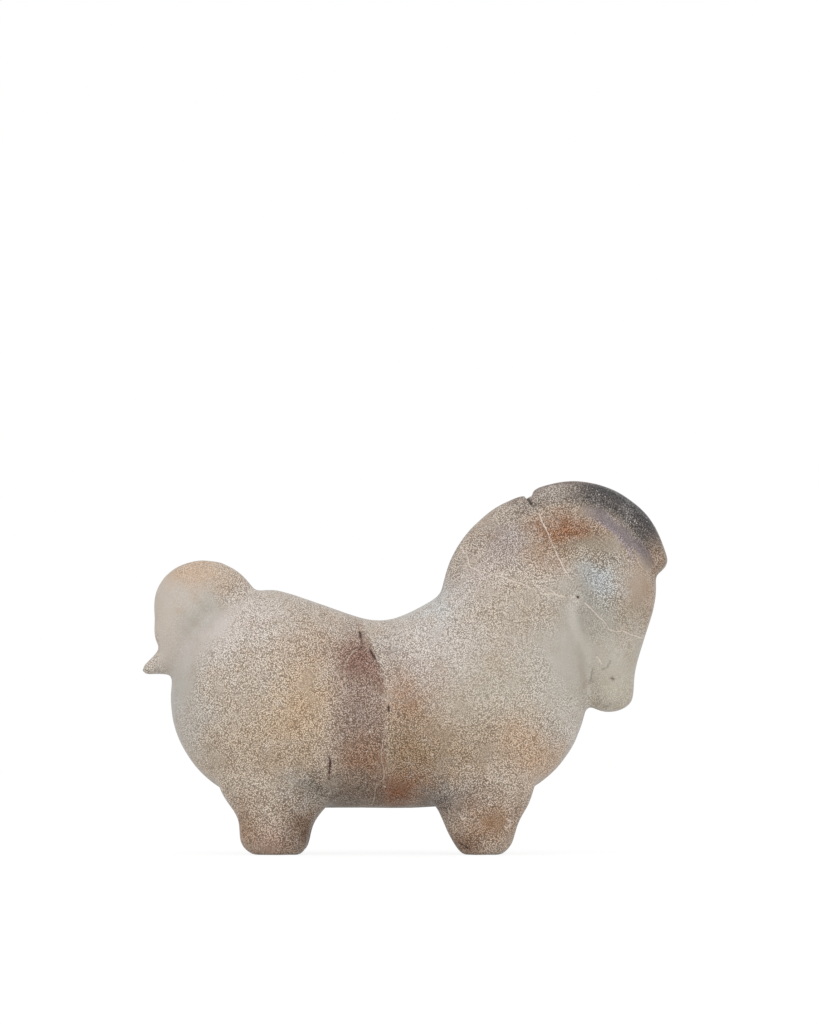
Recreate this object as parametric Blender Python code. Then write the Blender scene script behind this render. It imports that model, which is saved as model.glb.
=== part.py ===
"""A stocky standing horse, cast in one piece in stoneware.

The horse faces +X, stands on z = 0 and is the same on both sides of y = 0. Sizes are metres.

It is modelled as a sculptor builds it. Rounded lumps of clay are swept along their own centre
lines and pressed into each other. The big forms (barrel, neck and legs) are fused and smoothed
first, until no join shows. The small forms (head, mane and tail) are pressed on after that and
smoothed less, so that they keep soft valleys round them. Last, the feet are cut flat.
"""

import math
from collections import namedtuple

import bmesh
import bpy
import numpy as np
from mathutils import Matrix, Vector

# Barrel: the hindquarters and the forequarters are two round masses, with a saddle between them.
HIND_X = -0.068
HIND_TOP_Z = 0.1412
HIND_BOTTOM_Z = 0.0255
HIND_HALF_WIDTH = 0.0515
RUMP_LENGTH = 0.0570
LOIN_X = -0.042
LOIN_TOP_Z = 0.1325
LOIN_HALF_WIDTH = 0.0470
WAIST_X = -0.013
WAIST_TOP_Z = 0.1240
WAIST_HALF_WIDTH = 0.0430
SHOULDER_X = 0.012
SHOULDER_TOP_Z = 0.1332
SHOULDER_HALF_WIDTH = 0.0475
FORE_X = 0.045
FORE_TOP_Z = 0.1520
FORE_BOTTOM_Z = 0.0280
FORE_HALF_WIDTH = 0.0525
CHEST_LENGTH = 0.0532
BELLY_Z = 0.0242
BARREL_SQUARENESS = 2.15

# Neck: it leans forward out of the forequarters and grows thin towards the poll.
NECK_ROOT_X = 0.046
NECK_ROOT_Z = 0.095
NECK_ROOT_REACH = 0.053
NECK_ROOT_HALF_WIDTH = 0.050
NECK_ROOT_LENGTH = 0.0260
NECK_MID_X = 0.062
NECK_MID_Z = 0.124
NECK_MID_REACH = 0.042
NECK_MID_HALF_WIDTH = 0.039
NECK_TOP_X = 0.078
NECK_TOP_Z = 0.144
NECK_TOP_REACH = 0.040
NECK_TOP_HALF_WIDTH = 0.029
POLL_X = 0.098
POLL_Z = 0.156
POLL_REACH = 0.031
POLL_HALF_WIDTH = 0.021
POLL_LENGTH = 0.029

# Nape: the upper edge of the neck, thick under the mane, bent along the same arc as the crest.
NAPE_RADIUS = 0.0580
NAPE_START_DEG = 168.0
NAPE_END_DEG = 62.0
NAPE_REACH = 0.0180
NAPE_HALF_WIDTH = 0.0175

# Crest: the rear roll of the mane, a round roll bent along an arc from the withers to the notch.
CREST_CENTRE_X = 0.0828
CREST_CENTRE_Z = 0.1305
CREST_RADIUS = 0.0640
CREST_START_DEG = 176.0
CREST_END_DEG = 105.7
CREST_REACH = 0.0085
CREST_HALF_WIDTH = 0.0115

# Forelock: the front roll of the mane, which hangs over the forehead.
FORELOCK_CENTRE_X = 0.0896
FORELOCK_CENTRE_Z = 0.1464
FORELOCK_RADIUS = 0.0526
FORELOCK_START_DEG = 115.8
FORELOCK_END_DEG = 11.0
FORELOCK_REACH = 0.0092
FORELOCK_HALF_WIDTH = 0.0130
FORELOCK_TIP_LENGTH = 0.0065
NOTCH_ROUNDING = 0.0010

# Head: tucked down against the chest, with a square muzzle.
BROW_X = 0.1065
BROW_Z = 0.153
BROW_REACH = 0.0265
BROW_HALF_WIDTH = 0.0175
BROW_LENGTH = 0.0120
FACE_X = 0.1080
FACE_Z = 0.1355
FACE_REACH = 0.0264
FACE_HALF_WIDTH = 0.0200
NOSE_X = 0.1085
NOSE_Z = 0.1140
NOSE_REACH = 0.0195
NOSE_HALF_WIDTH = 0.0180
MUZZLE_X = 0.1090
MUZZLE_Z = 0.098
MUZZLE_REACH = 0.0145
MUZZLE_HALF_WIDTH = 0.0165
CHIN_X = 0.1096
CHIN_Z = 0.084
CHIN_REACH = 0.0128
CHIN_HALF_WIDTH = 0.0155
CHIN_LENGTH = 0.0090
HEAD_SQUARENESS = 2.3
CHEEK_X = 0.1075
CHEEK_Z = 0.1335
CHEEK_RADIUS = 0.0255
CHEEK_HALF_WIDTH = 0.0245

# Tail: a fat curl that rises over the rump and falls into a short pointed flick.
TAIL_ROOT_X = -0.093
TAIL_ROOT_Z = 0.1170
TAIL_ROOT_REACH = 0.0240
TAIL_ROOT_HALF_WIDTH = 0.0150
TAIL_ROOT_LENGTH = 0.0140
TAIL_BUN_X = -0.1080
TAIL_BUN_Z = 0.1291
TAIL_BUN_REACH = 0.0278
TAIL_BUN_HALF_WIDTH = 0.0185
TAIL_FALL_X = -0.1182
TAIL_FALL_Z = 0.1160
TAIL_FALL_REACH = 0.0175
TAIL_FALL_HALF_WIDTH = 0.0175
TAIL_END_X = -0.1243
TAIL_END_Z = 0.1045
TAIL_END_REACH = 0.0095
TAIL_END_HALF_WIDTH = 0.0130
FLICK_X = -0.1360
FLICK_Z = 0.0985
FLICK_REACH = 0.0036
FLICK_HALF_WIDTH = 0.0055
FLICK_LENGTH = 0.0050

# Legs: four short stumps, the rear pair broader than the front pair.
REAR_LEG_Y = 0.0245
REAR_FOOT_X = -0.0690
REAR_FOOT_REACH = 0.0193
REAR_LEG_X = -0.0680
REAR_LEG_REACH = 0.0200
REAR_HIP_X = -0.0673
REAR_HIP_REACH = 0.0309
REAR_LEG_HALF_WIDTH = 0.0170
FRONT_LEG_Y = 0.0245
FRONT_FOOT_X = 0.0428
FRONT_FOOT_REACH = 0.0163
FRONT_LEG_X = 0.0410
FRONT_LEG_REACH = 0.0208
FRONT_HIP_X = 0.0410
FRONT_HIP_REACH = 0.0280
FRONT_LEG_HALF_WIDTH = 0.0160
FOOT_ROUNDING = 0.0095
LEG_MID_Z = 0.0175
LEG_HIP_Z = 0.0330
LEG_TOP_Z = 0.0550

# Sole: how far the round foot is cut back, which leaves the flat patch that it stands on.
SOLE_CUT = 0.0030

# Skin: the grain of the fused clay, how far its joins are smoothed, and its finished facets.
SKIN_GRAIN = 0.0016
SMOOTHING_FACTOR = 0.5
BIG_FORM_ROUNDS = 60
SMALL_FORM_ROUNDS = 8
HALF_SKIN_TRIANGLES = 5800
NET_ROUNDS = 2

RING_POINTS = 48
RINGS_PER_SPAN = 10
CAP_RINGS = 9
ARC_STATIONS = 5
SNAP = 0.0004
SEAM_MERGE = 0.00001

STONEWARE_COLOUR = (0.62, 0.52, 0.43, 1.0)
STONEWARE_ROUGHNESS = 0.72

# One cross-section of a lump: its centre, its reach in the side view and its half width along Y.
Station = namedtuple("Station", "x z reach half_width")


def smooth_through(stations, steps):
    """Stations in between, on a Catmull-Rom curve through the given ones."""
    values = np.array(stations, float)
    before = 2 * values[0] - values[1]
    after = 2 * values[-1] - values[-2]
    padded = np.vstack([before, values, after])
    found = []
    for span in range(len(values) - 1):
        p0, p1, p2, p3 = padded[span : span + 4]
        for t in np.linspace(0, 1, steps, endpoint=False):
            found.append(
                0.5
                * (
                    2 * p1
                    + (p2 - p0) * t
                    + (2 * p0 - 5 * p1 + 4 * p2 - p3) * t**2
                    + (3 * p1 - p0 - 3 * p2 + p3) * t**3
                )
            )
    found.append(values[-1])
    return np.array(found)


def add_ring(bm, centre, across, reach, half_width, squareness):
    """A closed ring: across is its direction in the side view, and Y is the other one."""
    ring = []
    for turn in np.linspace(0, 2 * math.pi, RING_POINTS, endpoint=False):
        c, s = math.cos(turn), math.sin(turn)
        power = 2 / squareness
        along = reach * math.copysign(abs(c) ** power, c)
        side = half_width * math.copysign(abs(s) ** power, s)
        point = (
            centre[0] + across[0] * along,
            centre[1] + side,
            centre[2] + across[1] * along,
        )
        ring.append(bm.verts.new(point))
    return ring


def bridge(bm, first, second):
    """Quads between two rings of equal count."""
    for i, low in enumerate(first):
        following = (i + 1) % len(first)
        bm.faces.new((low, first[following], second[following], second[i]))


def add_lump(bm, stations, start_cap, end_cap, y=0.0, squareness=2.0, upright=False):
    """Sweeps a rounded lump along its stations and closes both ends with half ellipsoids.

    Its sections stand across its centre line or, where it is upright, across the X axis.
    """
    path = smooth_through(stations, RINGS_PER_SPAN)
    tangents = np.gradient(path[:, :2], axis=0)
    if upright:
        tangents[:, 1] = 0.0
    tangents /= np.linalg.norm(tangents, axis=1)[:, None]
    sections = list(zip(path[:, :2], tangents, path[:, 2], path[:, 3]))

    def cap(section, length, way):
        """Sections of shrinking size, stepping away from an end."""
        point, tangent, reach, half_width = section
        for step in range(1, CAP_RINGS):
            turn = math.pi / 2 * step / CAP_RINGS
            place = point + tangent * way * length * math.sin(turn)
            shrink = math.cos(turn)
            yield place, tangent, reach * shrink, half_width * shrink

    first, last = sections[0], sections[-1]
    sections = (
        list(cap(first, start_cap, -1))[::-1] + sections + list(cap(last, end_cap, 1))
    )
    rings = []
    for point, tangent, reach, half_width in sections:
        across = (-tangent[1], tangent[0])
        centre = (point[0], y, point[1])
        rings.append(add_ring(bm, centre, across, reach, half_width, squareness))
    for low, high in zip(rings, rings[1:]):
        bridge(bm, low, high)
    poles = (
        (first[0] - first[1] * start_cap, rings[0][::-1]),
        (last[0] + last[1] * end_cap, rings[-1]),
    )
    for place, ring in poles:
        pole = bm.verts.new((place[0], y, place[1]))
        for i, vert in enumerate(ring):
            bm.faces.new((vert, ring[(i + 1) % len(ring)], pole))


def arc_stations(centre_x, centre_z, radius, start_deg, end_deg, reach, half_width):
    """Stations for a roll whose outer edge follows a circle in the side view."""
    middle = radius - reach
    stations = []
    for turn in np.radians(np.linspace(start_deg, end_deg, ARC_STATIONS)):
        x = centre_x + middle * math.cos(turn)
        z = centre_z + middle * math.sin(turn)
        stations.append(Station(x, z, reach, half_width))
    return stations


def barrel_station(x, bottom_z, top_z, half_width):
    """A section of the barrel between its underside and its back."""
    return Station(x, (top_z + bottom_z) / 2, (top_z - bottom_z) / 2, half_width)


def add_barrel(bm):
    stations = [
        barrel_station(HIND_X, HIND_BOTTOM_Z, HIND_TOP_Z, HIND_HALF_WIDTH),
        barrel_station(LOIN_X, BELLY_Z, LOIN_TOP_Z, LOIN_HALF_WIDTH),
        barrel_station(WAIST_X, BELLY_Z, WAIST_TOP_Z, WAIST_HALF_WIDTH),
        barrel_station(SHOULDER_X, BELLY_Z, SHOULDER_TOP_Z, SHOULDER_HALF_WIDTH),
        barrel_station(FORE_X, FORE_BOTTOM_Z, FORE_TOP_Z, FORE_HALF_WIDTH),
    ]
    add_lump(
        bm,
        stations,
        RUMP_LENGTH,
        CHEST_LENGTH,
        squareness=BARREL_SQUARENESS,
        upright=True,
    )


def add_neck(bm):
    stations = [
        Station(NECK_ROOT_X, NECK_ROOT_Z, NECK_ROOT_REACH, NECK_ROOT_HALF_WIDTH),
        Station(NECK_MID_X, NECK_MID_Z, NECK_MID_REACH, NECK_MID_HALF_WIDTH),
        Station(NECK_TOP_X, NECK_TOP_Z, NECK_TOP_REACH, NECK_TOP_HALF_WIDTH),
        Station(POLL_X, POLL_Z, POLL_REACH, POLL_HALF_WIDTH),
    ]
    add_lump(bm, stations, NECK_ROOT_LENGTH, POLL_LENGTH)
    nape = arc_stations(
        CREST_CENTRE_X,
        CREST_CENTRE_Z,
        NAPE_RADIUS,
        NAPE_START_DEG,
        NAPE_END_DEG,
        NAPE_REACH,
        NAPE_HALF_WIDTH,
    )
    add_lump(bm, nape, NAPE_REACH, NAPE_REACH)


def add_mane(bm):
    """Two rolls end to end; their rounded ends leave the notch in the mane's top edge."""
    crest = arc_stations(
        CREST_CENTRE_X,
        CREST_CENTRE_Z,
        CREST_RADIUS,
        CREST_START_DEG,
        CREST_END_DEG,
        CREST_REACH,
        CREST_HALF_WIDTH,
    )
    add_lump(bm, crest, CREST_REACH, NOTCH_ROUNDING)
    forelock = arc_stations(
        FORELOCK_CENTRE_X,
        FORELOCK_CENTRE_Z,
        FORELOCK_RADIUS,
        FORELOCK_START_DEG,
        FORELOCK_END_DEG,
        FORELOCK_REACH,
        FORELOCK_HALF_WIDTH,
    )
    add_lump(bm, forelock, NOTCH_ROUNDING, FORELOCK_TIP_LENGTH)


def add_head(bm):
    stations = [
        Station(BROW_X, BROW_Z, BROW_REACH, BROW_HALF_WIDTH),
        Station(FACE_X, FACE_Z, FACE_REACH, FACE_HALF_WIDTH),
        Station(NOSE_X, NOSE_Z, NOSE_REACH, NOSE_HALF_WIDTH),
        Station(MUZZLE_X, MUZZLE_Z, MUZZLE_REACH, MUZZLE_HALF_WIDTH),
        Station(CHIN_X, CHIN_Z, CHIN_REACH, CHIN_HALF_WIDTH),
    ]
    add_lump(bm, stations, BROW_LENGTH, CHIN_LENGTH, squareness=HEAD_SQUARENESS)
    cheeks = Matrix.Translation((CHEEK_X, 0, CHEEK_Z)) @ Matrix.Diagonal(
        (CHEEK_RADIUS, CHEEK_HALF_WIDTH, CHEEK_RADIUS, 1)
    )
    bmesh.ops.create_uvsphere(
        bm, u_segments=RING_POINTS, v_segments=RING_POINTS // 2, radius=1, matrix=cheeks
    )


def add_tail(bm):
    stations = [
        Station(TAIL_ROOT_X, TAIL_ROOT_Z, TAIL_ROOT_REACH, TAIL_ROOT_HALF_WIDTH),
        Station(TAIL_BUN_X, TAIL_BUN_Z, TAIL_BUN_REACH, TAIL_BUN_HALF_WIDTH),
        Station(TAIL_FALL_X, TAIL_FALL_Z, TAIL_FALL_REACH, TAIL_FALL_HALF_WIDTH),
        Station(TAIL_END_X, TAIL_END_Z, TAIL_END_REACH, TAIL_END_HALF_WIDTH),
        Station(FLICK_X, FLICK_Z, FLICK_REACH, FLICK_HALF_WIDTH),
    ]
    add_lump(bm, stations, TAIL_ROOT_LENGTH, FLICK_LENGTH)


def add_leg(bm, y, hip, middle, foot, half_width):
    """A stump that runs down from inside the body, where it is flared, to a rounded foot.

    Its hip, middle and foot are each given as a place along X and a reach.
    """
    stations = [
        Station(hip[0], LEG_TOP_Z, hip[1], half_width),
        Station(hip[0], LEG_HIP_Z, hip[1], half_width),
        Station(middle[0], LEG_MID_Z, middle[1], half_width),
        Station(foot[0], FOOT_ROUNDING - SOLE_CUT, foot[1], half_width),
    ]
    add_lump(bm, stations, foot[1], FOOT_ROUNDING, y=y)


def add_legs(bm):
    for side in (-1, 1):
        add_leg(
            bm,
            side * REAR_LEG_Y,
            (REAR_HIP_X, REAR_HIP_REACH),
            (REAR_LEG_X, REAR_LEG_REACH),
            (REAR_FOOT_X, REAR_FOOT_REACH),
            REAR_LEG_HALF_WIDTH,
        )
        add_leg(
            bm,
            side * FRONT_LEG_Y,
            (FRONT_HIP_X, FRONT_HIP_REACH),
            (FRONT_LEG_X, FRONT_LEG_REACH),
            (FRONT_FOOT_X, FRONT_FOOT_REACH),
            FRONT_LEG_HALF_WIDTH,
        )


def press_on(horse, makers):
    """Adds the lumps that the makers build to the clay that is there, overlapping it."""
    bm = bmesh.new()
    bm.from_mesh(horse.data)
    for maker in makers:
        maker(bm)
    bmesh.ops.recalc_face_normals(bm, faces=bm.faces)
    bm.to_mesh(horse.data)
    bm.free()


def apply_modifiers(horse):
    """Bakes the modifiers that stand so far into the object's mesh."""
    graph = bpy.context.evaluated_depsgraph_get()
    baked = bpy.data.meshes.new_from_object(horse.evaluated_get(graph))
    horse.modifiers.clear()
    horse.data = baked


def fuse(horse, rounds):
    """Melts the overlapping lumps into one skin and smooths it."""
    melt = horse.modifiers.new("melt", "REMESH")
    melt.mode = "VOXEL"
    melt.voxel_size = SKIN_GRAIN
    soften = horse.modifiers.new("soften", "SMOOTH")
    soften.factor = SMOOTHING_FACTOR
    soften.iterations = rounds
    apply_modifiers(horse)


def cut_away(horse, way, fill):
    """Removes what lies beyond the plane through the origin that faces the given way."""
    bm = bmesh.new()
    bm.from_mesh(horse.data)
    for vert in bm.verts:
        along = vert.co.dot(Vector(way))
        if abs(along) < SNAP:
            vert.co -= Vector(way) * along
    cut = bmesh.ops.bisect_plane(
        bm,
        geom=bm.verts[:] + bm.edges[:] + bm.faces[:],
        dist=SEAM_MERGE,
        plane_co=(0, 0, 0),
        plane_no=way,
        clear_outer=True,
    )
    if fill:
        rims = [item for item in cut["geom_cut"] if isinstance(item, bmesh.types.BMEdge)]
        bmesh.ops.holes_fill(bm, edges=rims, sides=0)
    bm.to_mesh(horse.data)
    bm.free()


def thin_out_half(horse):
    """Keeps the half at +Y and lays a coarser net over it, finer where the skin bends."""
    skin = bpy.data.objects.new("skin", horse.data.copy())
    bpy.context.scene.collection.objects.link(skin)
    cut_away(horse, (0, -1, 0), fill=False)
    triangles = sum(len(face.vertices) - 2 for face in horse.data.polygons)
    thin = horse.modifiers.new("thin", "DECIMATE")
    thin.ratio = min(1.0, HALF_SKIN_TRIANGLES / triangles)
    even_out = horse.modifiers.new("even_out", "SMOOTH")
    even_out.factor = SMOOTHING_FACTOR
    even_out.iterations = NET_ROUNDS
    settle = horse.modifiers.new("settle", "SHRINKWRAP")
    settle.target = skin
    apply_modifiers(horse)
    bpy.data.objects.remove(skin)
    bm = bmesh.new()
    bm.from_mesh(horse.data)
    rim = {vert for vert in bm.verts if vert.is_boundary}
    for vert in rim:
        vert.co.y = 0.0
    flat = [face for face in bm.faces if all(vert in rim for vert in face.verts)]
    bmesh.ops.delete(bm, geom=flat, context="FACES")
    bm.to_mesh(horse.data)
    bm.free()


def stoneware():
    material = bpy.data.materials.new("stoneware")
    material.use_nodes = True
    shader = material.node_tree.nodes["Principled BSDF"]
    shader.inputs["Base Color"].default_value = STONEWARE_COLOUR
    shader.inputs["Roughness"].default_value = STONEWARE_ROUGHNESS
    shader.inputs["Metallic"].default_value = 0.0
    return material


def build_horse():
    horse = bpy.data.objects.new("horse", bpy.data.meshes.new("horse"))
    bpy.context.scene.collection.objects.link(horse)
    press_on(horse, (add_barrel, add_neck, add_legs))
    fuse(horse, BIG_FORM_ROUNDS)
    press_on(horse, (add_head, add_mane, add_tail))
    fuse(horse, SMALL_FORM_ROUNDS)
    thin_out_half(horse)
    cut_away(horse, (0, -1, 0), fill=False)
    cut_away(horse, (0, 0, -1), fill=True)
    halves = horse.modifiers.new("both_sides", "MIRROR")
    halves.use_axis = (False, True, False)
    halves.use_clip = True
    halves.merge_threshold = SEAM_MERGE
    horse.data.materials.clear()
    horse.data.materials.append(stoneware())
    horse.data.shade_smooth()
    return horse


def main():
    for old in list(bpy.data.objects):
        bpy.data.objects.remove(old)
    build_horse()


main()
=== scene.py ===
"""The looks of the horse: a matt, mottled stoneware glaze with fine speckles and crackle lines.

The casting's skin is made finer round its cracks, carved a little, and glazed. Lengths in this
script are millimetres, apart from the mesh, the camera and the floor, which are in metres.
"""
import math
import random
from collections import namedtuple

import bpy
import numpy as np
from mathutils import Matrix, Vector, kdtree, noise


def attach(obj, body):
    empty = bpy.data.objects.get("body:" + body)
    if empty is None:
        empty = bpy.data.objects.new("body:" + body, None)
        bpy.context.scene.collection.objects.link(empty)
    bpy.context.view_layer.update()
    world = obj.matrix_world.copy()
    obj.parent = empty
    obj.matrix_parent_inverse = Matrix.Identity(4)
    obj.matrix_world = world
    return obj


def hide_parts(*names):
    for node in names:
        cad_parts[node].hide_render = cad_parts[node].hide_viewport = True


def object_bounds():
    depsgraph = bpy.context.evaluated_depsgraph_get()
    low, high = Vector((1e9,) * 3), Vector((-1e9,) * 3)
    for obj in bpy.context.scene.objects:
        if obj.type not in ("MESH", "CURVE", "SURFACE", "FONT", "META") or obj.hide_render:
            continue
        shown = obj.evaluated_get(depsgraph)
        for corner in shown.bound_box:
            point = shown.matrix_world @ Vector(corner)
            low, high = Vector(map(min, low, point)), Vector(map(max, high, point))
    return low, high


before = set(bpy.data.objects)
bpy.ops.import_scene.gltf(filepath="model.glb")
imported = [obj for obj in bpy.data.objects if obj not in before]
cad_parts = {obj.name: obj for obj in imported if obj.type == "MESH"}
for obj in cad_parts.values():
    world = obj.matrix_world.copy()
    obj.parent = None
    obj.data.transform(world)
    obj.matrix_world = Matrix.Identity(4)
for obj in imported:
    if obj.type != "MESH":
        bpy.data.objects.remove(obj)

CAD_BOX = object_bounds()
MM = 0.001

# The side that faces the camera, the side away from it, and the view from above.
NEAR = "near"
FAR = "far"
ABOVE = "above"

# Skin: the size of its facets, finer round the cracks, and its uneven, hand-worked surface.
FACET = 1.5
ROUNDING_PASSES = 5
FINISHING_PASSES = 2
LINE_ZONES = (2.4, 1.2)
WAVES = ((28.0, 0.30), (9.0, 0.10))
NEVER_FURTHER = 6.0

# Crackle: the steps in which a line is drawn, how far it strays from its pins, and how close the
# marks of its trail are.
RAGGED_STEP = 2.2
RAGGED_REACH = 0.32
TRAIL_STEP = 0.12

# A line is a list of pins (side, a, b). From above, a, b are X, Y. On the near and the far side
# they are X, Z in the horse's middle plane, and the pin goes in where an eye on that side sees it.
# Pale lines are crackle that the glaze has healed. Faint lines are thinner veins of the same kind,
# and dark lines are cracks that stay open.
PALE_LINES = (
    # From below the notch in the mane down the neck to the cheek.
    (
        (NEAR, 71.9, 181.0),
        (NEAR, 74.0, 176.2),
        (NEAR, 76.7, 170.9),
        (NEAR, 79.3, 164.5),
        (NEAR, 81.5, 159.1),
        (NEAR, 84.1, 153.8),
        (NEAR, 88.6, 146.4),
    ),
    # From the hollow behind the cheek back across the neck to the withers, with a side vein.
    (
        (NEAR, 92.2, 136.7),
        (NEAR, 86.0, 136.7),
        (NEAR, 79.6, 138.3),
        (NEAR, 73.2, 138.3),
        (NEAR, 67.2, 141.5),
        (NEAR, 61.9, 144.1),
        (NEAR, 56.4, 145.7),
        (NEAR, 45.7, 149.0),
        (NEAR, 39.5, 150.6),
        (NEAR, 34.6, 153.3),
        (NEAR, 34.0, 157.5),
        (NEAR, 29.9, 163.9),
    ),
    (
        (NEAR, 75.3, 142.6),
        (NEAR, 79.6, 139.4),
        (NEAR, 82.8, 136.7),
    ),
    # Across the cheek to the bridge of the nose.
    (
        (NEAR, 96.4, 133.5),
        (NEAR, 102.4, 127.7),
        (NEAR, 105.6, 124.5),
        (NEAR, 108.0, 121.8),
        (NEAR, 109.4, 119.1),
        (NEAR, 112.6, 118.1),
        (NEAR, 116.8, 118.6),
        (NEAR, 121.6, 116.5),
        (NEAR, 127.0, 114.6),
    ),
    # Beside the mouth.
    (
        (NEAR, 102.4, 105.0),
        (NEAR, 104.2, 103.0),
        (NEAR, 105.0, 100.9),
    ),
    # Small chips on the front leg and in the band.
    (
        (NEAR, 29.7, 19.9),
        (NEAR, 31.3, 18.3),
        (NEAR, 32.9, 19.4),
    ),
    (
        (NEAR, 53.2, 15.1),
        (NEAR, 54.3, 13.5),
        (NEAR, 56.4, 15.1),
        (NEAR, 56.9, 17.2),
        (NEAR, 55.3, 17.8),
    ),
    (
        (NEAR, 33.5, 46.6),
        (NEAR, 35.6, 46.0),
    ),
    (
        (NEAR, 44.7, 26.3),
        (NEAR, 46.8, 25.8),
    ),
    (
        (NEAR, -18.6, 65.2),
        (NEAR, -18.0, 64.8),
    ),
    (
        (NEAR, -40.6, 63.8),
        (NEAR, -39.8, 63.4),
    ),
    (
        (NEAR, -12.2, 106.6),
        (NEAR, -11.4, 106.2),
    ),
    (
        (NEAR, -10.9, 35.9),
        (NEAR, -10.3, 35.4),
    ),
    # The far side has some of its own.
    (
        (FAR, 66.0, 188.0),
        (FAR, 70.5, 178.0),
        (FAR, 72.0, 166.0),
        (FAR, 79.5, 152.0),
        (FAR, 88.0, 141.0),
        (FAR, 100.0, 131.0),
        (FAR, 109.0, 124.0),
        (FAR, 122.0, 121.0),
    ),
    (
        (FAR, 79.5, 152.0),
        (FAR, 66.0, 146.0),
        (FAR, 50.0, 149.0),
        (FAR, 36.0, 158.0),
    ),
)

FAINT_LINES = (
    # Through the band on the flank.
    (
        (NEAR, -25.8, 108.5),
        (NEAR, -29.0, 105.3),
        (NEAR, -30.8, 102.1),
    ),
    (
        (NEAR, -32.2, 96.7),
        (NEAR, -31.4, 90.3),
        (NEAR, -30.6, 87.1),
        (NEAR, -34.3, 83.4),
        (NEAR, -35.9, 80.2),
    ),
    # Along the band's front edge.
    (
        (NEAR, -14.0, 96.7),
        (NEAR, -10.8, 93.0),
        (NEAR, -9.0, 89.3),
        (NEAR, -8.4, 81.8),
    ),
    (
        (NEAR, -8.7, 70.0),
        (NEAR, -10.6, 65.2),
        (NEAR, -11.4, 60.4),
        (NEAR, -12.2, 55.1),
        (NEAR, -11.9, 48.7),
        (NEAR, -10.8, 43.4),
        (NEAR, -10.8, 40.2),
        (NEAR, -13.5, 37.5),
        (NEAR, -15.6, 33.8),
        (NEAR, -15.9, 29.5),
        (NEAR, -17.8, 25.2),
    ),
    (
        (FAR, -12.0, 96.0),
        (FAR, -9.0, 82.0),
        (FAR, -12.0, 66.0),
        (FAR, -10.0, 48.0),
        (FAR, -15.0, 30.0),
    ),
)

DARK_LINES = (
    # Two short cracks at the top of the band.
    (
        (NEAR, -23.9, 118.0),
        (NEAR, -22.8, 113.8),
        (NEAR, -22.3, 110.1),
        (NEAR, -24.2, 108.7),
    ),
    (
        (NEAR, -22.9, 115.0),
        (NEAR, -22.2, 111.6),
        (NEAR, -23.2, 109.6),
    ),
    (
        (NEAR, -18.0, 107.8),
        (NEAR, -15.4, 103.6),
    ),
    # Down the band's front edge and its rear edge.
    (
        (NEAR, -8.4, 78.0),
        (NEAR, -8.3, 76.0),
    ),
    (
        (NEAR, -40.0, 51.0),
        (NEAR, -39.4, 45.0),
        (NEAR, -40.1, 39.5),
    ),
    # The nostril, the pit where the veins meet, and the chipped edge of the front foot.
    (
        (NEAR, 110.7, 93.2),
        (NEAR, 111.3, 93.0),
    ),
    (
        (NEAR, 92.6, 136.8),
        (NEAR, 92.8, 136.6),
    ),
    (
        (NEAR, 29.7, 5.5),
        (NEAR, 32.4, 3.9),
        (NEAR, 35.1, 2.3),
    ),
    # The far side has some of its own.
    (
        (FAR, -20.0, 113.0),
        (FAR, -15.0, 98.0),
        (FAR, -13.0, 86.0),
    ),
    (
        (FAR, -36.0, 52.0),
        (FAR, -38.5, 41.0),
        (FAR, -37.0, 33.0),
    ),
)

# Soft folds on both sides: the mouth's corner, under the chin, behind the jaw and the
# forelock's tip, carved and darkened with painted shade. Then the hollow under the forelock, and
# the notch in the mane, darkened with painted shade too.
FOLD_LINES = tuple(
    tuple((side, x, z) for x, z in fold)
    for side in (NEAR, FAR)
    for fold in (
        ((105.5, 98.0), (108.1, 98.9), (109.9, 102.3)),
        ((106.5, 77.8), (110.3, 80.2)),
        ((100.4, 98.6), (99.6, 94.6), (98.5, 90.3)),
        ((129.5, 162.3), (131.6, 157.5), (133.7, 153.3), (136.4, 150.1)),
    )
)
JAW_LINES = tuple(
    (
        (side, 92.1, 136.2),
        (side, 89.5, 131.9),
        (side, 89.6, 124.5),
        (side, 93.0, 115.0),
        (side, 98.0, 108.0),
        (side, 100.6, 98.9),
        (side, 100.1, 90.0),
        (side, 98.0, 80.0),
    )
    for side in (NEAR, FAR)
)
HOLLOW_LINES = tuple(
    (
        (side, 95.9, 182.6),
        (side, 101.2, 181.6),
        (side, 106.5, 179.4),
        (side, 111.9, 175.1),
        (side, 117.2, 170.9),
        (side, 122.5, 165.5),
        (side, 127.3, 159.7),
        (side, 130.5, 153.3),
    )
    for side in (NEAR, FAR)
)
NOTCH_LINES = (
    (
        (NEAR, 67.6, 186.6),
        (NEAR, 66.4, 188.6),
        (ABOVE, 65.6, -5.0),
        (ABOVE, 65.2, 0.0),
        (ABOVE, 65.6, 5.0),
        (FAR, 66.4, 188.6),
        (FAR, 67.6, 186.6),
    ),
)
NOSTRIL = (111.0, 93.4)
NOSTRIL_RADIUS = 0.8
NOSTRIL_DEPTH = 0.35

# How each kind of line is cut: half its width, and its depth. Wide ones need no finer facets.
PALE_CUT = (0.40, 0.18)
FAINT_CUT = (0.40, 0.10)
DARK_CUT = (0.45, 0.45)
FOLD_CUT = (0.50, 0.22)
JAW_CUT = (1.80, 0.15)
HOLLOW_CUT = (2.60, 0.35)
NOTCH_CUT = (0.70, 1.50)

LineKind = namedtuple("LineKind", "name lines cut")
LINE_KINDS = (
    LineKind("pale_line", PALE_LINES, PALE_CUT),
    LineKind("faint_line", FAINT_LINES, FAINT_CUT),
    LineKind("dark_line", DARK_LINES, DARK_CUT),
    LineKind("fold_line", FOLD_LINES, FOLD_CUT),
    LineKind("jaw_line", JAW_LINES, JAW_CUT),
    LineKind("hollow_line", HOLLOW_LINES, HOLLOW_CUT),
    LineKind("notch_line", NOTCH_LINES, NOTCH_CUT),
)

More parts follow.
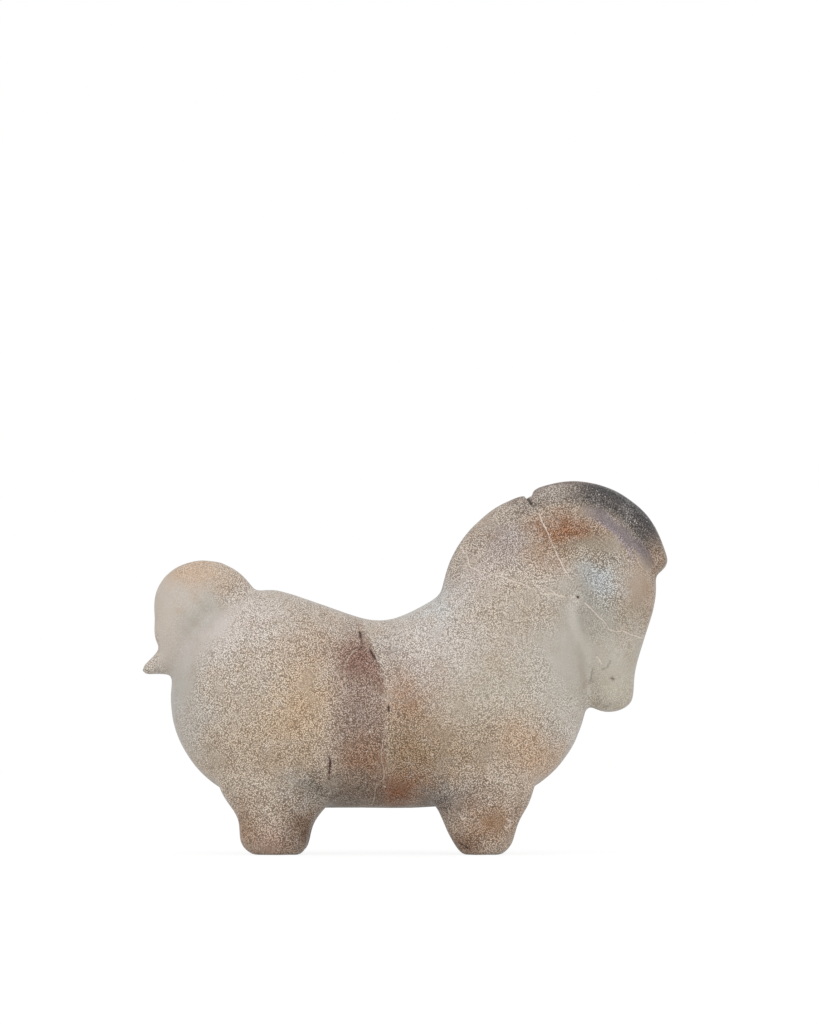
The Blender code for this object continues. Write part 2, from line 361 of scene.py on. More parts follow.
# Camera: level with the horse's flank, through a long lens, and the photograph's frame.
FRAME_HEIGHT_PX = 1024
FRAME_MIDDLE_PX = (409.5, 512.0)
HORSE_MIDDLE_PX = 404.3
SOLES_PX = 853.3
PIXEL = 0.5335
CAMERA_X = (FRAME_MIDDLE_PX[0] - HORSE_MIDDLE_PX) * PIXEL * MM
AIM_Z = (SOLES_PX - FRAME_MIDDLE_PX[1]) * PIXEL * MM
CAMERA_DISTANCE = 2.6
CAMERA_HEIGHT = 0.06
SENSOR = 24.0

# Light: a bright white room and a soft lamp, at which a colour renders about as it is written.
SKY_LEVEL = 0.76
KEY_LEVEL = 0.24
KEY_ELEVATION = 50.0
KEY_AZIMUTH = -4.0
KEY_SOFTNESS = 60.0
FLOOR_SIZE = 12.0
FLOOR_SHADOW = 0.14
FLOOR_WHITE = 0.9
FLOOR_BRIGHTNESS = 1.02


class Wire:
    """An output of a node. Arithmetic on wires and numbers adds Math nodes to the finish."""

    def __init__(self, finish, socket):
        self.finish = finish
        self.socket = socket

    def math(self, operation, *values):
        """A Math node on this finish."""
        return self.finish.node("ShaderNodeMath", {"operation": operation}, dict(enumerate(values)))

    def __add__(self, other):
        return self.math("ADD", self, other)

    __radd__ = __add__

    def __sub__(self, other):
        return self.math("SUBTRACT", self, other)

    def __rsub__(self, other):
        return self.math("SUBTRACT", other, self)

    def __mul__(self, other):
        return self.math("MULTIPLY", self, other)

    __rmul__ = __mul__

    def __truediv__(self, other):
        return self.math("DIVIDE", self, other)

    def __abs__(self):
        return self.math("ABSOLUTE", self)


class Finish:
    """A material in the making, with its Principled shader."""

    def __init__(self, name):
        self.material = bpy.data.materials.new(name)
        self.material.use_nodes = True
        self.tree = self.material.node_tree
        self.shader = self.tree.nodes["Principled BSDF"]

    def node(self, kind, settings=None, sockets=None, output=0):
        """Adds a node, with its settings first, then its sockets' values or links."""
        made = self.tree.nodes.new(kind)
        for name, value in (settings or {}).items():
            setattr(made, name, value)
        for name, value in (sockets or {}).items():
            self.join(value, made.inputs[name])
        return Wire(self, made.outputs[output])

    def join(self, value, socket):
        """Links a wire to a socket, or sets the socket's own value."""
        if isinstance(value, Wire):
            self.tree.links.new(value.socket, socket)
        else:
            socket.default_value = value

    def set(self, name, value):
        """Feeds one socket of the Principled shader."""
        self.join(value, self.shader.inputs[name])


def srgb(red, green, blue):
    """A colour as a picture shows it, 0 to 255, made linear."""
    linear = []
    for level in (red, green, blue):
        shown = level / 255
        linear.append(shown / 12.92 if shown <= 0.04045 else ((shown + 0.055) / 1.055) ** 2.4)
    return (*linear, 1.0)


def only(piece):
    """Makes one object the selected and active one."""
    bpy.ops.object.select_all(action="DESELECT")
    piece.select_set(True)
    bpy.context.view_layer.objects.active = piece


def read_points(piece):
    """The places of a mesh's points, one row each, in metres."""
    points = np.empty(len(piece.data.vertices) * 3)
    piece.data.vertices.foreach_get("co", points)
    return points.reshape(-1, 3)


def read_normals(piece):
    """The directions that the skin faces at its points."""
    normals = np.empty(len(piece.data.vertices) * 3)
    piece.data.vertex_normals.foreach_get("vector", normals)
    return normals.reshape(-1, 3)


def write_points(piece, points):
    piece.data.vertices.foreach_set("co", points.ravel())
    piece.data.update()


def copy_casting():
    """A copy of the CAD casting, welded, rounded and laid out in even facets."""
    skin = bpy.data.objects.new("horse_skin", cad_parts["horse"].data.copy())
    bpy.context.scene.collection.objects.link(skin)
    only(skin)
    bpy.ops.object.mode_set(mode="EDIT")
    bpy.ops.mesh.select_all(action="SELECT")
    bpy.ops.mesh.remove_doubles(threshold=0.01 * MM)
    bpy.ops.object.mode_set(mode="OBJECT")
    round_off = skin.modifiers.new("round_off", "SUBSURF")
    round_off.levels = 1
    round_off.render_levels = 1
    even = skin.modifiers.new("even", "REMESH")
    even.mode = "VOXEL"
    even.voxel_size = FACET * MM
    bpy.ops.object.modifier_apply(modifier="round_off")
    rounded = bpy.data.objects.new("rounded_casting", skin.data.copy())
    bpy.context.scene.collection.objects.link(rounded)
    soften = skin.modifiers.new("soften", "SMOOTH")
    soften.factor = 0.5
    soften.iterations = ROUNDING_PASSES
    settle = skin.modifiers.new("settle", "SHRINKWRAP")
    settle.target = rounded
    finish = skin.modifiers.new("finish", "SMOOTH")
    finish.factor = 0.5
    finish.iterations = FINISHING_PASSES
    for modifier in ("even", "soften", "settle", "finish"):
        bpy.ops.object.modifier_apply(modifier=modifier)
    bpy.data.objects.remove(rounded)
    bpy.ops.object.mode_set(mode="EDIT")
    bpy.ops.mesh.select_all(action="SELECT")
    bpy.ops.mesh.quads_convert_to_tris()
    bpy.ops.object.mode_set(mode="OBJECT")
    return skin


def press(skin, side, a, b):
    """The point of the skin that a pin meets: from the near side, the far side or above."""
    if side == ABOVE:
        aim = Vector((a * MM, b * MM, 0))
        eye = aim + Vector((0, 0, CAMERA_DISTANCE))
    else:
        aim = Vector((a * MM, 0, b * MM))
        away = -CAMERA_DISTANCE if side == NEAR else CAMERA_DISTANCE
        eye = Vector((CAMERA_X, away, CAMERA_HEIGHT))
    met, place, _, _ = skin.ray_cast(eye, aim - eye)
    if not met:
        _, place, _, _ = skin.closest_point_on_mesh(aim)
    return place


def ragged(corners, chance):
    """Points along a line through the corners, pushed a little off it."""
    found = [corners[0]]
    for start, end in zip(corners, corners[1:]):
        steps = max(1, round((end - start).length / (RAGGED_STEP * MM)))
        for step in range(1, steps + 1):
            point = start.lerp(end, step / steps)
            if step < steps:
                stray = [chance.uniform(-1, 1) * RAGGED_REACH * MM for _ in range(3)]
                point = point + Vector(stray)
            found.append(point)
    return found


def trail(skin, lines, seed):
    """Close marks on the skin along all the lines."""
    chance = random.Random(seed)
    marks = []
    for line in lines:
        corners = [press(skin, *pin) for pin in line]
        path = ragged(corners, chance)
        for start, end in zip(path, path[1:]):
            steps = max(1, round((end - start).length / (TRAIL_STEP * MM)))
            for step in range(steps + 1):
                _, place, _, _ = skin.closest_point_on_mesh(start.lerp(end, step / steps))
                marks.append(place)
    tree = kdtree.KDTree(len(marks))
    for index, mark in enumerate(marks):
        tree.insert(mark, index)
    tree.balance()
    return tree


def distances(points, tree):
    """How far each point is from a trail, in millimetres, up to a limit."""
    found = np.array([tree.find(point)[2] for point in points]) / MM
    return np.minimum(found, NEVER_FURTHER)


def refine(skin, trees):
    """Halves the facets round the lines, and halves them again close to them."""
    for zone in LINE_ZONES:
        centres = np.empty(len(skin.data.polygons) * 3)
        skin.data.polygons.foreach_get("center", centres)
        centres = centres.reshape(-1, 3)
        nearest = np.min([distances(centres, tree) for tree in trees], axis=0)
        only(skin)
        bpy.ops.object.mode_set(mode="EDIT")
        bpy.ops.mesh.select_mode(type="FACE")
        bpy.ops.mesh.select_all(action="DESELECT")
        bpy.ops.object.mode_set(mode="OBJECT")
        skin.data.polygons.foreach_set("select", nearest < zone)
        bpy.ops.object.mode_set(mode="EDIT")
        bpy.ops.mesh.subdivide(number_cuts=1, ngon=False)
        bpy.ops.object.mode_set(mode="OBJECT")


def groove(distance, cut):
    """How deep a groove is at each distance from its line."""
    half_width, depth = cut
    return depth * np.exp(-((distance / half_width) ** 2))


def carve(skin, trees):
    """Works the skin as by hand: slow waves, grooves along the lines, and the nostrils."""
    points = read_points(skin)
    normals = read_normals(skin)
    push = np.zeros(len(points))
    for length, height in WAVES:
        waves = [noise.noise(Vector(point) / (length * MM)) for point in points]
        push += height * np.array(waves)
    found = [distances(points, tree) for tree in trees]
    for distance, kind in zip(found, LINE_KINDS):
        push -= groove(distance, kind.cut)
    for side in (NEAR, FAR):
        nostril = np.array(press(skin, side, *NOSTRIL))
        away = np.linalg.norm(points - nostril, axis=1) / MM
        push -= groove(away, (NOSTRIL_RADIUS, NOSTRIL_DEPTH))
    points += normals * push[:, None] * MM
    write_points(skin, np.clip(points, CAD_BOX[0], CAD_BOX[1]))
    for distance, kind in zip(found, LINE_KINDS):
        attribute = skin.data.attributes.new(kind.name, "FLOAT", "POINT")
        attribute.data.foreach_set("value", distance.astype(np.float32))


def make_skin():
    """The casting's skin, refined and carved along its lines and shaded smooth."""
    skin = copy_casting()
    trees = [trail(skin, kind.lines, seed) for seed, kind in enumerate(LINE_KINDS)]
    refine(skin, [tree for tree, kind in zip(trees, LINE_KINDS) if kind.cut[0] < FACET])
    carve(skin, trees)
    only(skin)
    bpy.ops.object.shade_smooth()
    return skin


# Glaze: the kiln's soft patches. x, z is a patch's middle, and reach_x, reach_z its half sizes.
Patch = namedtuple("Patch", "x z reach_x reach_z turn colour strength")
BASE_GLAZE = srgb(184, 172, 159)
PATCHES = (
    # Rump and hindquarters.
    Patch(-121, 84, 18, 43, 0, srgb(184, 181, 174), 0.8),
    Patch(-94, 121, 34, 18, 20, srgb(208, 199, 193), 0.9),
    Patch(-76, 74, 32, 29, 0, srgb(188, 174, 156), 0.5),
    Patch(-46, 108, 19, 16, -15, srgb(176, 154, 135), 0.65),
    Patch(-72, 63, 32, 19, 25, srgb(184, 160, 132), 0.55),
    Patch(-53, 79, 21, 27, 0, srgb(184, 156, 124), 0.7),
    Patch(-97, 47, 25, 16, 0, srgb(174, 158, 138), 0.6),
    Patch(-56, 47, 21, 13, 0, srgb(168, 146, 120), 0.6),
    Patch(-74, 28, 21, 12, 0, srgb(162, 146, 128), 0.7),
    Patch(-84, 11, 10, 18, 0, srgb(142, 112, 86), 0.85),
    Patch(-69, 6, 11, 11, 0, srgb(150, 118, 98), 0.8),
    Patch(-55, 13, 12, 18, 0, srgb(100, 72, 48), 0.95),
    Patch(-46, 34, 18, 9, -15, srgb(110, 102, 92), 0.95),
    # Tail.
    Patch(-111, 151, 21, 11, 0, srgb(202, 174, 148), 0.75),
    Patch(-128, 124, 10, 28, 0, srgb(208, 194, 180), 0.6),
    Patch(-106, 127, 15, 8, 40, srgb(172, 171, 161), 0.7),
    Patch(-114, 135, 14, 12, 0, srgb(208, 198, 187), 0.6),
    # Flank right of the band, and the low belly.
    Patch(-7, 106, 11, 12, 0, srgb(136, 122, 112), 0.9),
    Patch(3, 85, 18, 19, 10, srgb(146, 106, 70), 0.9),
    Patch(17, 51, 21, 21, 0, srgb(141, 115, 87), 0.8),
    Patch(-1, 54, 18, 19, 0, srgb(134, 106, 74), 0.9),
    Patch(-5, 34, 19, 12, 0, srgb(122, 72, 30), 1.0),
    # Shoulder, chest and front leg.
    Patch(38, 60, 33, 25, 0, srgb(170, 148, 122), 0.65),
    Patch(13, 111, 28, 25, 10, srgb(200, 192, 186), 0.9),
    Patch(54, 87, 34, 23, 0, srgb(190, 182, 167), 0.7),
    Patch(19, 27, 11, 12, 0, srgb(98, 92, 87), 0.95),
    Patch(32, 31, 16, 10, 0, srgb(128, 118, 112), 0.75),
    Patch(46, 17, 23, 16, 0, srgb(138, 102, 68), 0.9),
    Patch(32, 6, 13, 7, 0, srgb(118, 88, 65), 0.8),
    Patch(69, 54, 16, 25, 30, srgb(196, 164, 134), 0.75),
    Patch(89, 68, 9, 26, 25, srgb(212, 204, 194), 1.0),
    # Neck.
    Patch(86, 100, 26, 42, 0, srgb(190, 184, 174), 0.9),
    Patch(56, 129, 30, 16, 0, srgb(176, 164, 148), 0.6),
    Patch(16, 134, 18, 15, 30, srgb(198, 198, 196), 0.9),
    Patch(37, 147, 17, 14, 0, srgb(190, 179, 175), 0.6),
    Patch(40, 170, 12, 18, -45, srgb(164, 146, 128), 0.7),
    Patch(54, 164, 15, 12, 0, srgb(156, 143, 140), 0.8),
    Patch(77, 164, 13, 16, 0, srgb(154, 122, 96), 0.75),
    Patch(91, 170, 27, 14, -8, srgb(133, 111, 90), 0.8),
    Patch(87, 172, 22, 9, -8, srgb(132, 86, 50), 0.95),
    Patch(98, 162, 16, 9, 0, srgb(154, 143, 126), 0.8),
    # Head.
    Patch(102, 133, 18, 19, 0, srgb(160, 158, 151), 0.85),
    # Painted highlight on the cheek's bulge.
    Patch(107, 146, 14, 10, -25, srgb(172, 178, 181), 0.85),
    Patch(126, 140, 14, 22, 0, srgb(172, 150, 130), 0.8),
    Patch(119, 128, 11, 9, 0, srgb(156, 141, 120), 0.6),
    Patch(112, 108, 22, 18, 0, srgb(190, 184, 171), 0.9),
    Patch(112, 86, 20, 17, 0, srgb(190, 184, 168), 0.9),
    Patch(105, 156, 16, 7, -20, srgb(152, 140, 124), 0.6),
)

# How soft a patch's border is, and how far it wanders. On the far side it wanders further, so that
# the two sides aren't alike.
PATCH_SOFTNESS = 1.1
PATCH_WANDER = 11.0
PATCH_WANDER_SIZE = 20.0
FAR_WANDER = 26.0
FAR_SIDE = (-8.0, 24.0)

# Band: a brown belt round the waist, between two uneven seams. High up it leans to the tail.
BAND_LEFT = -38.0
BAND_RIGHT = -10.0
BAND_LEFT_FADE = 9.0
BAND_RIGHT_FADE = 1.6
BAND_LEAN_FROM = 92.0
BAND_LEAN = 0.4
SEAM_SIZE = 7.0
SEAM_REACH = 2.0
BAND_TONES = (
    Patch(-22, 100, 19, 22, 0, srgb(112, 70, 54), 1.0),
    Patch(-22, 70, 30, 24, 0, srgb(132, 110, 99), 1.0),
    Patch(-22, 49, 30, 15, 0, srgb(132, 98, 72), 1.0),
    Patch(-28, 32, 34, 10, 0, srgb(110, 94, 80), 1.0),
)
BAND_STRENGTH = 0.9

# Places where the glaze has melted smooth and hides the speckles: x, z and half sizes.
Smooth = namedtuple("Smooth", "x z reach_x reach_z strength turn", defaults=(0,))
SMOOTH_PLACES = (
    Smooth(112, 100, 20, 30, 1.0),
    Smooth(87, 112, 12, 34, 1.0),
    Smooth(-104, 123, 20, 12, 1.0),
    Smooth(-118, 96, 12, 34, 1.0),
    Smooth(-126, 130, 10, 24, 1.0),
    Smooth(-113, 130, 18, 20, 1.0),
    Smooth(124, 142, 9, 16, 1.0),
    Smooth(-105, 152, 26, 14, 0.5),
    Smooth(96, 165, 12, 5, 0.8),
    Smooth(111, 162, 7, 5, 0.8),
    Smooth(30, 84, 40, 30, 0.40),
    Smooth(60, 112, 34, 30, 0.35),
)

# Mane: arcs in the side view round a point x, z. The angles start from the head and turn upwards.
Ring = namedtuple("Ring", "x z radius half_width start_deg end_deg colour strength")
RINGS = (
    # The pale roll on the neck and its dark rim.
    Ring(82.8, 130.5, 60.0, 7.0, 168, 112, srgb(172, 160, 149), 0.5),
    Ring(82.8, 130.5, 64.4, 1.6, 172, 106, srgb(96, 84, 78), 0.7),
    # The forelock: its grey start, the charcoal band and its darkest edge, and the brown tip.
    Ring(89.6, 146.4, 48.0, 10.0, 132, 80, srgb(118, 107, 101), 0.6),
    Ring(89.6, 146.4, 49.0, 13.0, 88, 12, srgb(72, 67, 66), 0.95),
    Ring(89.6, 146.4, 53.0, 8.0, 82, 26, srgb(52, 48, 49), 0.9),
    Ring(89.6, 146.4, 48.0, 9.0, 22, 0, srgb(150, 128, 110), 0.9),
    # The reddish rim at its start, and the border of the hollow under it.
    Ring(89.6, 146.4, 53.0, 3.0, 124, 82, srgb(84, 56, 46), 0.9),
    Ring(89.6, 146.4, 33.2, 2.2, 68, 16, srgb(150, 138, 145), 0.6),
)
RING_FADE_DEG = 26.0
LILAC_HOLLOW = Ring(89.6, 146.4, 37.0, 14.0, 76, 14, srgb(122, 112, 117), 0.8)
HOLLOW_REACH = (5.2, 1.0)

# Painted light on the strip behind the jaw, which lifts the shade in the crease there, and a painted
# pale sheen on the places that face up, down, ahead or back.
JAW_PAINTED_LIGHT_REACH = (5.8, 0.5)
JAW_PAINTED_LIGHT = srgb(208, 202, 192)
JAW_PAINTED_LIGHT_STRENGTH = 0.6
PAINTED_SHEEN_TURN = (0.36, 0.10)
PAINTED_SHEEN_COLOUR = srgb(184, 181, 176)
PAINTED_SHEEN_STRENGTH = 0.4

# Mottle: warm and cool clouds in the glaze.
MOTTLE_SIZE = 11.0
MOTTLE_WARM = srgb(226, 208, 188)
MOTTLE_WARM_STRENGTH = 0.3
MOTTLE_COOL = srgb(206, 203, 200)
MOTTLE_COOL_STRENGTH = 0.15

# Speckles: pale grains, stronger on dark ground, with darker pits between them and a few larger
# flecks of bare white. All thin out over smooth places and over calm islands in the glaze.
CELL_SIZE = 0.66
PALE_REACH = (0.47, 0.22)
PALE_GAIN = 1.7
PALE_LIFT = (0.100, 0.102, 0.104)
PALE_FADE = 1.2
PALE_LEAST = 0.3
PIT_REACH = (0.46, 0.72)
PIT_SHADE = srgb(198, 190, 182)
FLECK_SIZE = 1.1
FLECK_LEVELS = (0.76, 0.82)
FLECK = srgb(232, 224, 214)
FLECK_STRENGTH = 0.8
SMOOTH_CALM = 0.85
ISLAND_SIZE = 15.0
ISLAND_LEVELS = (0.50, 0.30)
ISLAND_CALM = 0.6

# The glaze's fine relief and its dull surface.
RELIEF_SIZE = 0.60
RELIEF_DEPTH = 0.3
ROUGHNESS = 0.66
GRAIN_ROUGHNESS = 0.15

# Crackle's colours. A vein's width is half of it, and its border is painted shade beside it.
Vein = namedtuple("Vein", "kind width strength")
VEINS = (Vein("pale_line", 0.50, 0.85), Vein("faint_line", 0.46, 0.38))
VEIN_GLAZE = srgb(228, 214, 200)
VEIN_PAINTED_SHADE = srgb(112, 98, 88)
CRACK = srgb(56, 34, 27)
CRACK_STAIN = srgb(104, 78, 66)
# Painted shade for the folds and for the notch in the mane.
FOLD_SHADE = srgb(116, 108, 98)
NOTCH_SHADE = srgb(66, 56, 52)


def share(wire, low, high):
    """0 below low, 1 above high, and a soft step in between. It falls if low is above high."""
    sockets = {"Value": wire, "From Min": low, "From Max": high}
    return wire.finish.node("ShaderNodeMapRange", {"interpolation_type": "SMOOTHSTEP"}, sockets)


def vector_math(finish, operation, *values, output=0):
    """A Vector Math node on a finish."""
    settings = {"operation": operation}
    return finish.node("ShaderNodeVectorMath", settings, dict(enumerate(values)), output)


def scaled(finish, vector, amount):
    """A vector times a number."""
    return finish.node("ShaderNodeVectorMath", {"operation": "SCALE"}, {0: vector, "Scale": amount})


def part(finish, vector, axis):
    """One of a vector's three numbers."""
    return finish.node("ShaderNodeSeparateXYZ", {}, {0: vector}, axis)


def mixed(finish, amount, first, second, blend="MIX"):
    """The first colour where amount is 0, the second where it is 1."""
    settings = {"data_type": "RGBA", "blend_type": blend}
    return finish.node("ShaderNodeMix", settings, {0: amount, 6: first, 7: second}, 2)


def clouds(finish, place, size, detail=2.0, roughness=0.5, output=0):
    """Noise whose lumps are about as large as size, in millimetres."""
    sockets = {"Vector": place, "Scale": 1 / size, "Detail": detail, "Roughness": roughness}
    return finish.node("ShaderNodeTexNoise", {}, sockets, output)


def patch_mask(finish, place, patch):
    """1 in the middle of a patch and 0 past its reach. It goes through the body along Y."""
    sockets = {
        "Vector": place,
        "Location": (patch.x, 0, patch.z),
        "Rotation": (0, -math.radians(patch.turn), 0),
        "Scale": (patch.reach_x, 1e9, patch.reach_z),
    }
    inside = finish.node("ShaderNodeMapping", {"vector_type": "TEXTURE"}, sockets)
    away = vector_math(finish, "LENGTH", inside, output=1)
    return share(away, 1 + PATCH_SOFTNESS / 2, 1 - PATCH_SOFTNESS)


def ring_mask(finish, place, ring):
    """1 along an arc in the side view, fading to its sides and its ends."""
    middle = vector_math(finish, "SUBTRACT", place, (ring.x, 0, ring.z))
    x = part(finish, middle, 0)
    z = part(finish, middle, 2)
    radius = x.math("SQRT", x * x + z * z)
    turn = z.math("ARCTAN2", z, x) * (180 / math.pi)
    across = share(abs(radius - ring.radius), ring.half_width, ring.half_width * 0.45)
    first = share(turn, ring.start_deg + RING_FADE_DEG / 2, ring.start_deg - RING_FADE_DEG / 2)
    last = share(turn, ring.end_deg - RING_FADE_DEG / 2, ring.end_deg + RING_FADE_DEG / 2)
    return across * first * last


def glaze_colour(finish, place, far):
    """The glaze under its speckles: patches, the band, the mane's rings, and painted light on the
    strip behind the jaw.
    """
    wander = clouds(finish, place, PATCH_WANDER_SIZE, 5.0, 0.62, output="Color")
    stray = vector_math(finish, "SUBTRACT", wander, (0.5, 0.5, 0.5))
    reach = scaled(finish, stray, 2 * PATCH_WANDER + far * FAR_WANDER)
    wandered = vector_math(finish, "ADD", place, reach)
    colour = BASE_GLAZE
    for patch in PATCHES:
        amount = patch_mask(finish, wandered, patch) * patch.strength
        colour = mixed(finish, amount, colour, patch.colour)
    tone = colour
    for patch in BAND_TONES:
        tone = mixed(finish, patch_mask(finish, wandered, patch) * patch.strength, tone, patch.colour)
    seam = (clouds(finish, place, SEAM_SIZE, 3.0, 0.6) - 0.5) * (2 * SEAM_REACH)
    height = part(finish, place, 2)
    lean = height.math("MAXIMUM", height - BAND_LEAN_FROM, 0)
    along = part(finish, place, 0) + seam + lean * BAND_LEAN
    left = share(along, BAND_LEFT - BAND_LEFT_FADE, BAND_LEFT + BAND_LEFT_FADE)
    right = share(along, BAND_RIGHT + BAND_RIGHT_FADE, BAND_RIGHT - BAND_RIGHT_FADE)
    colour = mixed(finish, left * right * BAND_STRENGTH, colour, tone)
    for ring in RINGS:
        colour = mixed(finish, ring_mask(finish, place, ring) * ring.strength, colour, ring.colour)
    hollow = share(line_distance(finish, "hollow_line") + seam * 0.9, *HOLLOW_REACH)
    lilac = hollow * ring_mask(finish, place, LILAC_HOLLOW)
    colour = mixed(finish, lilac * LILAC_HOLLOW.strength, colour, LILAC_HOLLOW.colour)
    # Painted light behind the jaw, which lifts the shade between the jaw and the chest.
    jaw_painted_light = share(line_distance(finish, "jaw_line"), *JAW_PAINTED_LIGHT_REACH)
    colour = mixed(finish, jaw_painted_light * JAW_PAINTED_LIGHT_STRENGTH, colour, JAW_PAINTED_LIGHT)
    return colour, wandered, hollow


def line_distance(finish, kind):
    """How far the surface is from the nearest line of a kind, in millimetres."""
    return finish.node("ShaderNodeAttribute", {"attribute_name": kind}, output="Fac")


def add_crackle(finish, place, colour):
    """Pale veins with a faint border of painted shade, open dark cracks, and painted shade in the
    folds and in the notch.
    """
    waver = clouds(finish, place, 1.4, 2.0, 0.6) - 0.5
    swell = clouds(finish, place, 5.0, 2.0, 0.6) - 0.5
    breaks = share(swell, -0.16, -0.02)
    for vein in VEINS:
        away = line_distance(finish, vein.kind) + waver * 0.6 + swell * 0.9
        # Painted shade along the border of each vein.
        painted_shade_border = share(away, 1.1, 0.4) * share(waver, -0.1, 0.2)
        colour = mixed(finish, painted_shade_border * (vein.strength * 0.5), colour, VEIN_PAINTED_SHADE)
        pale = share(away, vein.width, vein.width - 0.30) * (0.35 + breaks * 0.65)
        colour = mixed(finish, pale * vein.strength, colour, VEIN_GLAZE)
    away = line_distance(finish, "dark_line") + waver * 1.2 - swell * 2.0
    colour = mixed(finish, share(away, 1.8, 0.3) * 0.35, colour, CRACK_STAIN)
    colour = mixed(finish, share(away, 0.60, 0.15) * 0.85, colour, CRACK)
    # Painted shade in the folds.
    away = line_distance(finish, "fold_line") + waver + swell
    colour = mixed(finish, share(away, 0.8, 0.1) * 0.35, colour, FOLD_SHADE)
    # Painted shade in the notch of the mane.
    away = line_distance(finish, "notch_line")
    return mixed(finish, share(away, 1.0, 0.4) * 0.8, colour, NOTCH_SHADE)


def add_mottle(finish, place, colour):
    """Warm and cool clouds over the glaze."""
    mottle = clouds(finish, place, MOTTLE_SIZE, 4.0, 0.65)
    warm = share(mottle, 0.50, 0.70) * MOTTLE_WARM_STRENGTH
    colour = mixed(finish, warm, colour, MOTTLE_WARM, "MULTIPLY")
    cool = share(mottle, 0.48, 0.30) * MOTTLE_COOL_STRENGTH
    return mixed(finish, cool, colour, MOTTLE_COOL)


def add_speckles(finish, place, colour, speckled):
    """Pits, pale grains and flecks, where the glaze is speckled. Also gives the pale grains."""
    cells = {"Vector": place, "Scale": 1 / CELL_SIZE}
    grain = finish.node("ShaderNodeTexVoronoi", {}, cells, "Distance")
    pale_grain = share(grain, *PALE_REACH) * speckled
    pits = share(grain, *PIT_REACH) * speckled
    lightness = finish.node("ShaderNodeRGBToBW", {}, {0: colour})
    faded = 1 - lightness * PALE_FADE
    strength = faded.math("MAXIMUM", faded, PALE_LEAST)
    colour = mixed(finish, pits, colour, PIT_SHADE, "MULTIPLY")
    lift = scaled(finish, PALE_LIFT, pale_grain)
    gain = pale_grain * strength * PALE_GAIN + 1
    colour = vector_math(finish, "ADD", scaled(finish, colour, gain), lift)
    flecks = share(clouds(finish, place, FLECK_SIZE, 0.0), *FLECK_LEVELS) * speckled * strength
    return mixed(finish, flecks * FLECK_STRENGTH, colour, FLECK), pale_grain


def stoneware():
    """The mottled glaze, its speckles, its crackle and its fine relief."""
    finish = Finish("stoneware_glaze")
    coordinates = finish.node("ShaderNodeTexCoord", output="Object")
    normal = finish.node("ShaderNodeTexCoord", output="Normal")
    place = scaled(finish, coordinates, 1 / MM)
    far = share(part(finish, place, 1), *FAR_SIDE)
    colour, wandered, hollow = glaze_colour(finish, place, far)

    smooth = 0.0
    for spot in SMOOTH_PLACES:
        smooth = patch_mask(finish, wandered, spot) * spot.strength + smooth
    # Painted sheen: where the surface faces up, down, ahead or back, the glaze is painted a paler
    # grey.
    painted_sheen = share(abs(part(finish, normal, 1)), *PAINTED_SHEEN_TURN)
    # The painted sheen also calms the speckles there.
    smooth = share(smooth + painted_sheen * 0.6 + hollow * 0.7, 0.0, 1.0)
    islands = share(clouds(finish, place, ISLAND_SIZE, 3.0, 0.6), *ISLAND_LEVELS)
    speckled = (1 - smooth * SMOOTH_CALM) * (1 - islands * ISLAND_CALM)

    # Painted sheen on the places that face up, down, ahead or back.
    colour = mixed(finish, painted_sheen * PAINTED_SHEEN_STRENGTH, colour, PAINTED_SHEEN_COLOUR)
    colour = add_mottle(finish, place, colour)
    colour, pale_grain = add_speckles(finish, place, colour, speckled)
    colour = add_crackle(finish, place, colour)

    finish.set("Base Color", colour)
    finish.set("Roughness", ROUGHNESS + pale_grain * GRAIN_ROUGHNESS)
    finish.set("Sheen Weight", 0.1)
    finish.set("Sheen Roughness", 0.4)
    finish.set("Sheen Tint", (0.88, 0.92, 1.0, 1.0))
    finish.set("Specular IOR Level", 0.35)
    relief = clouds(finish, place, RELIEF_SIZE, 1.0, 0.6) * speckled
    bumps = {"Strength": 0.5, "Distance": RELIEF_DEPTH * MM, "Height": relief}
    finish.set("Normal", finish.node("ShaderNodeBump", {}, bumps))
    return finish.material


def white_for_camera(tree, plain, shown, out):
    """Joins the plain shader for the light and the shown one for what the camera sees."""
    path = tree.nodes.new("ShaderNodeLightPath")
    seen = tree.nodes.new("ShaderNodeMath")
    seen.operation = "MAXIMUM"
    tree.links.new(path.outputs["Is Glossy Ray"], seen.inputs[0])
    tree.links.new(path.outputs["Is Transmission Ray"], seen.inputs[1])
    any_seen = tree.nodes.new("ShaderNodeMath")
    any_seen.operation = "MAXIMUM"
    tree.links.new(path.outputs["Is Camera Ray"], any_seen.inputs[0])
    tree.links.new(seen.outputs[0], any_seen.inputs[1])
    choice = tree.nodes.new("ShaderNodeMixShader")
    tree.links.new(any_seen.outputs[0], choice.inputs[0])
    tree.links.new(plain, choice.inputs[1])
    tree.links.new(shown, choice.inputs[2])
    tree.links.new(choice.outputs[0], out)


def make_world():
    world = bpy.data.worlds.new("studio")
    world.use_nodes = True
    tree = world.node_tree
    sky = tree.nodes["Background"]
    sky.inputs["Color"].default_value = (1, 1, 1, 1)
    sky.inputs["Strength"].default_value = SKY_LEVEL
    white = tree.nodes.new("ShaderNodeBackground")
    white.inputs["Color"].default_value = (1, 1, 1, 1)
    white.inputs["Strength"].default_value = 1.0
    out = tree.nodes["World Output"].inputs["Surface"]
    white_for_camera(tree, sky.outputs[0], white.outputs[0], out)
    bpy.context.scene.world = world


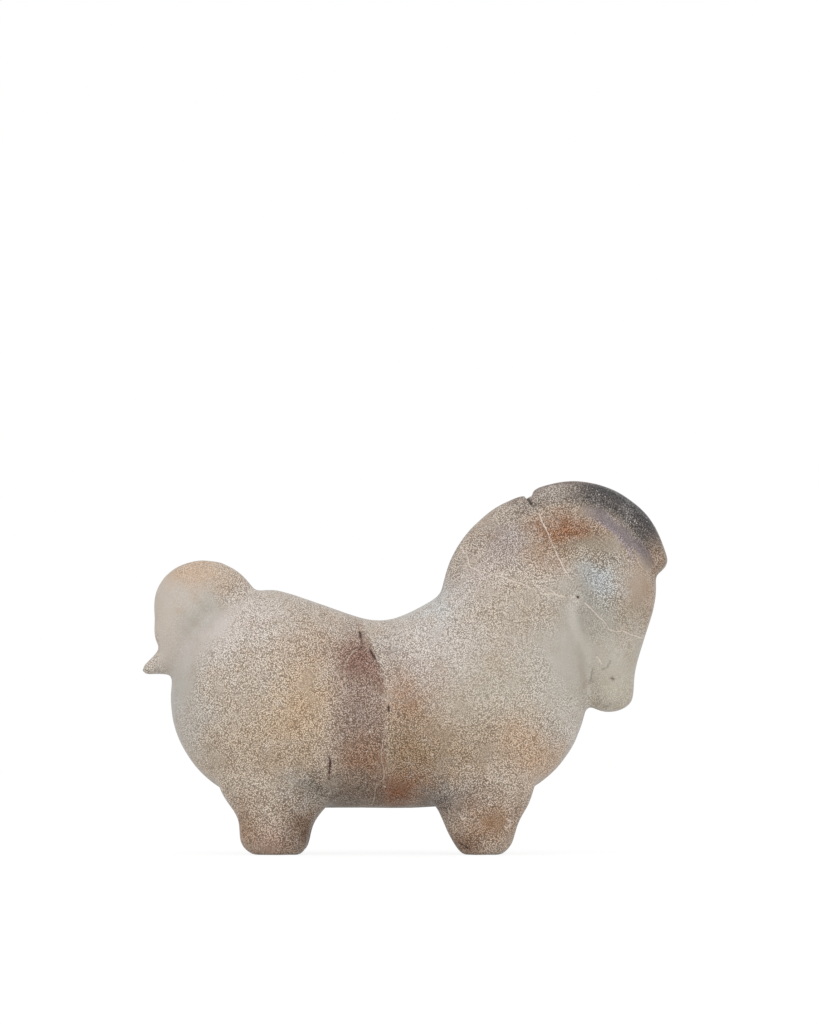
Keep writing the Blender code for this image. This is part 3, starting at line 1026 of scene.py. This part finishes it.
def make_floor():
    """A white floor that keeps only a faint shadow of the horse."""
    bpy.ops.mesh.primitive_plane_add(size=FLOOR_SIZE, location=(0, 0, -0.1 * MM))
    floor = bpy.context.object
    floor.name = "floor"
    material = bpy.data.materials.new("floor_white")
    material.use_nodes = True
    tree = material.node_tree
    tree.nodes.remove(tree.nodes["Principled BSDF"])
    grey = tree.nodes.new("ShaderNodeBsdfDiffuse")
    grey.inputs["Color"].default_value = (FLOOR_WHITE, FLOOR_WHITE, FLOOR_WHITE, 1)
    shadow = tree.nodes.new("ShaderNodeBsdfDiffuse")
    shadow.inputs["Color"].default_value = (FLOOR_SHADOW, FLOOR_SHADOW, FLOOR_SHADOW, 1)
    glow = tree.nodes.new("ShaderNodeEmission")
    light = SKY_LEVEL + KEY_LEVEL * math.sin(math.radians(KEY_ELEVATION))
    glow.inputs["Strength"].default_value = FLOOR_BRIGHTNESS - FLOOR_SHADOW * light
    both = tree.nodes.new("ShaderNodeAddShader")
    tree.links.new(shadow.outputs[0], both.inputs[0])
    tree.links.new(glow.outputs[0], both.inputs[1])
    out = tree.nodes["Material Output"].inputs["Surface"]
    white_for_camera(tree, grey.outputs[0], both.outputs[0], out)
    floor.data.materials.append(material)


def make_key_light():
    bpy.ops.object.light_add(type="SUN", location=(-1, -1, 2))
    key = bpy.context.object
    key.name = "key_light"
    key.data.energy = KEY_LEVEL * math.pi
    key.data.angle = math.radians(KEY_SOFTNESS)
    key.rotation_euler = (math.radians(90 - KEY_ELEVATION), 0, math.radians(KEY_AZIMUTH))


def make_camera():
    """The photograph's frame: the horse stands below its middle, so the camera tips up a little."""
    bpy.ops.object.camera_add(location=(CAMERA_X, -CAMERA_DISTANCE, CAMERA_HEIGHT))
    camera = bpy.context.object
    tip = math.atan2(AIM_Z - CAMERA_HEIGHT, CAMERA_DISTANCE)
    camera.rotation_euler = (math.pi / 2 + tip, 0, 0)
    camera.data.sensor_fit = "VERTICAL"
    camera.data.sensor_height = SENSOR
    camera.data.lens = SENSOR * CAMERA_DISTANCE / (FRAME_HEIGHT_PX * PIXEL * MM)
    camera.data.clip_end = 50
    bpy.context.scene.camera = camera


def main():
    skin = make_skin()
    skin.data.materials.clear()
    skin.data.materials.append(stoneware())
    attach(skin, "root")
    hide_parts("horse")
    make_world()
    make_floor()
    make_key_light()
    make_camera()
    bpy.context.scene.view_settings.view_transform = "Standard"


main()
